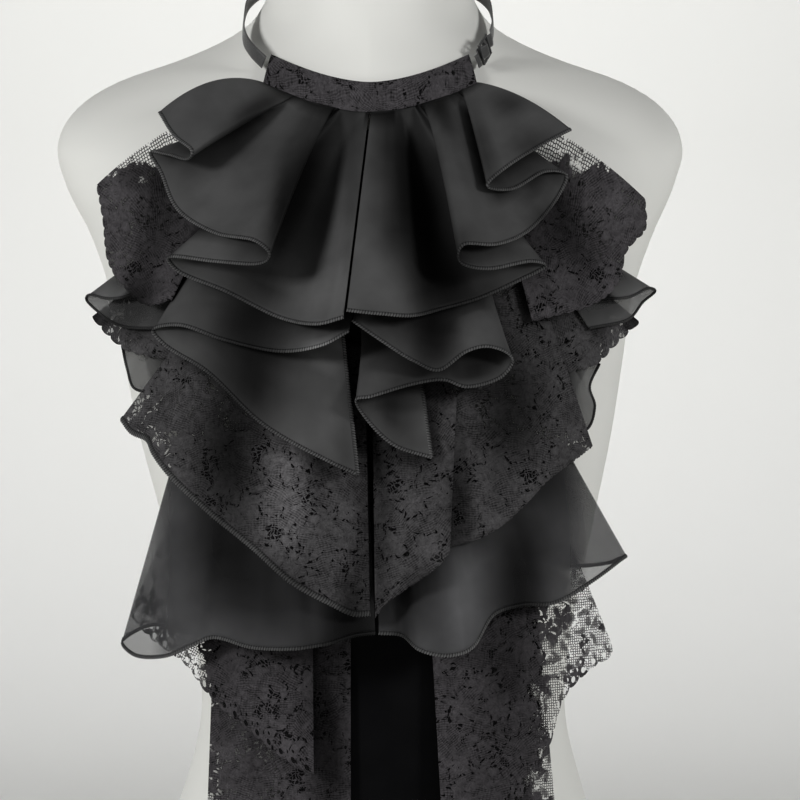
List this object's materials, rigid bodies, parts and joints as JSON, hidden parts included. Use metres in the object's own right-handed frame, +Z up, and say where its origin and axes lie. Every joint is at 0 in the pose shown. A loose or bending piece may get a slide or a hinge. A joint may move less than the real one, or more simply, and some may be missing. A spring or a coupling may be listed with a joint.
{
  "type": "tiered lace and chiffon jabot collar on a dress form",
  "caption": "Detachable black jabot: lace neckband with a strap, tiers of pleated chiffon and lace on a smooth white dress form.",
  "frame": {"origin": "centre line of the dress form at its flat base", "axes": "+Z up, the jabot faces -Y, +X to the form's left side as worn"},
  "size_m": [0.374, 0.2632, 0.606],
  "materials": {
    "white_form": "smooth matt white",
    "band_lace": "padded black corded lace over satin",
    "strap_ribbon": "black satin ribbon",
    "slider_plastic": "black moulded plastic",
    "backing_cloth": "matt black crepe",
    "satin_chiffon": "black satin chiffon with an overlocked hem",
    "sheer_chiffon": "single layer of sheer black chiffon",
    "black_lace": "black raschel lace with flowers and leaves on a net ground"
  },
  "bodies": {
    "root": {"dress_form": "white_form", "neckband": "band_lace", "neck_strap": "strap_ribbon", "strap_slider": "slider_plastic", "backing_panel": "backing_cloth", "upper_flounce_left": "satin_chiffon", "upper_flounce_right": "satin_chiffon", "lower_flounce_left": "satin_chiffon", "lower_flounce_right": "satin_chiffon", "side_lace_upper_left": "black_lace", "side_lace_upper_right": "black_lace", "side_chiffon_upper_left": "satin_chiffon", "side_chiffon_upper_right": "satin_chiffon", "side_lace_lower_left": "black_lace", "side_lace_lower_right": "black_lace", "side_chiffon_lower_left": "satin_chiffon", "side_chiffon_lower_right": "satin_chiffon", "lace_point_left": "black_lace", "lace_point_right": "black_lace", "sheer_flounce_left": "sheer_chiffon", "sheer_flounce_right": "sheer_chiffon", "lace_cascade_left": "black_lace", "lace_cascade_right": "black_lace", "lower_panel_left": "black_lace", "lower_panel_right": "black_lace"}
  },
  "joints": []
}
